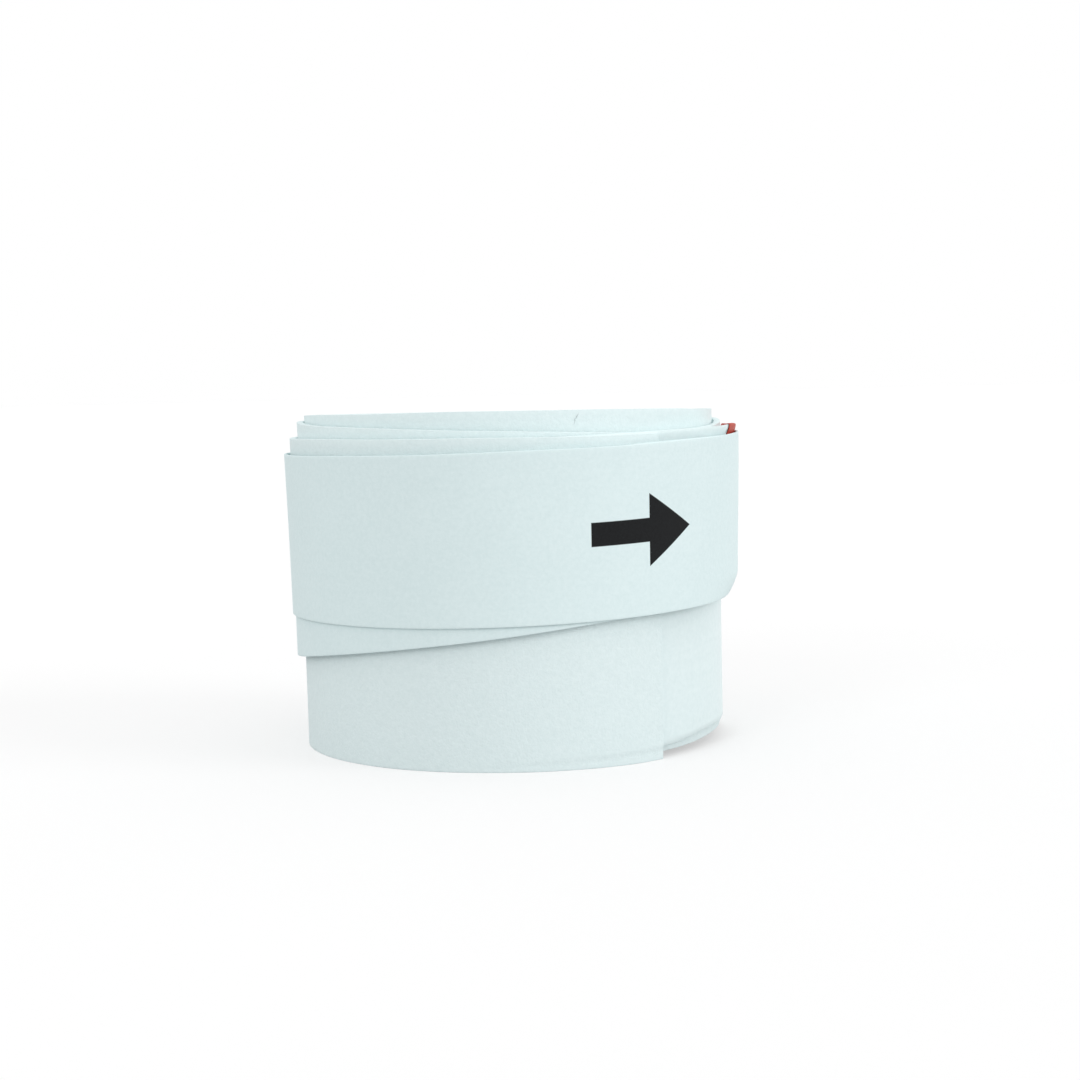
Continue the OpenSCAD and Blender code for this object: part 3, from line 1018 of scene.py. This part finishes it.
class GRIPROLL_OT_stage(bpy.types.Operator):
    """Set the floor, the light and the camera"""

    bl_idname = "griproll.stage"
    bl_label = "Set stage"

    def execute(self, context):
        scene = context.scene
        stage = settings().stage
        scene.view_settings.view_transform = "Standard"
        self.lay_floor()
        self.light_sky(scene, stage)
        self.hang_lamp("key_lamp", KEY_PLACE, KEY_SPREAD, stage.key)
        self.hang_lamp("fill_lamp", FILL_PLACE, FILL_SPREAD, stage.fill)
        self.aim_camera(scene, stage)
        return {"FINISHED"}

    @staticmethod
    def lay_floor():
        bpy.ops.object.select_all(action="DESELECT")
        bpy.ops.mesh.primitive_circle_add(vertices=96, radius=FLOOR_RADIUS, fill_type="NGON")
        floor = bpy.context.object
        floor.name = floor.data.name = "floor"
        floor.data.materials.append(pale_floor())

    @staticmethod
    def light_sky(scene, stage):
        world = scene.world or bpy.data.worlds.new("soft_sky")
        scene.world = world
        world.use_nodes = True
        tree = world.node_tree
        sky = tree.nodes["Background"]
        sky.inputs["Color"].default_value = (1, 1, 1, 1)
        strength = between(tree, seen_directly(tree), stage.sky, 1.0)
        tree.links.new(strength, sky.inputs["Strength"])

    @staticmethod
    def hang_lamp(name, place, spread, strength):
        """A far lamp that looks spread degrees wide, so that its shadows are soft."""
        lamp = bpy.data.lights.new(name, "SUN")
        lamp.energy = strength
        lamp.angle = math.radians(spread)
        holder = bpy.data.objects.new(name, lamp)
        bpy.context.scene.collection.objects.link(holder)
        holder.location = place
        aim = Vector((0, 0, settings().stage.aim_height)) - Vector(place)
        holder.rotation_euler = aim.to_track_quat("-Z", "Y").to_euler()

    @staticmethod
    def aim_camera(scene, stage):
        data = bpy.data.cameras.new("photo_camera")
        data.lens = stage.lens
        data.sensor_width = SENSOR
        data.clip_start, data.clip_end = 0.01, 20
        camera = bpy.data.objects.new("photo_camera", data)
        scene.collection.objects.link(camera)
        tilt = Matrix.Rotation(math.pi / 2 - stage.elevation, 3, "X")
        turn = tilt @ Matrix.Rotation(stage.roll, 3, "Z")
        middle = Winding(settings()).axis.xy.to_3d() + Vector((0, 0, stage.aim_height))
        camera.matrix_world = Matrix.Translation(
            middle + turn @ Vector((stage.right, stage.up, stage.distance))
        ) @ turn.to_4x4()
        scene.camera = camera


class GRIPROLL_PT_panel(bpy.types.Panel):
    """Lists the steps that make the roll, and its sizes"""

    bl_idname = "GRIPROLL_PT_panel"
    bl_label = "Grip tape roll"
    bl_space_type = "VIEW_3D"
    bl_region_type = "UI"
    bl_category = "Grip roll"

    def draw(self, context):
        layout = self.layout
        for step in STEPS:
            layout.operator(step.bl_idname)
        for group in ("strip", "film", "starter", "tape", "colours", "stage"):
            values = getattr(settings(), group)
            box = layout.box()
            box.label(text=group.capitalize())
            for key in values.__annotations__:
                box.prop(values, key)


STEPS = (
    GRIPROLL_OT_strip,
    GRIPROLL_OT_tab,
    GRIPROLL_OT_film,
    GRIPROLL_OT_starter,
    GRIPROLL_OT_tape,
    GRIPROLL_OT_stage,
)
GROUPS = (StripSizes, FilmSizes, StarterSizes, TapeSizes, RollColours, StageSettings, RollSettings)
CLASSES = (*GROUPS, *STEPS, GRIPROLL_PT_panel)


def register():
    for each in CLASSES:
        bpy.utils.register_class(each)
    bpy.types.Scene.grip_roll = PointerProperty(type=RollSettings)


def unregister():
    del bpy.types.Scene.grip_roll
    for each in reversed(CLASSES):
        bpy.utils.unregister_class(each)


def main():
    register()
    for step in STEPS:
        group, name = step.bl_idname.split(".")
        getattr(getattr(bpy.ops, group), name)()


if __name__ == "__main__":
    main()
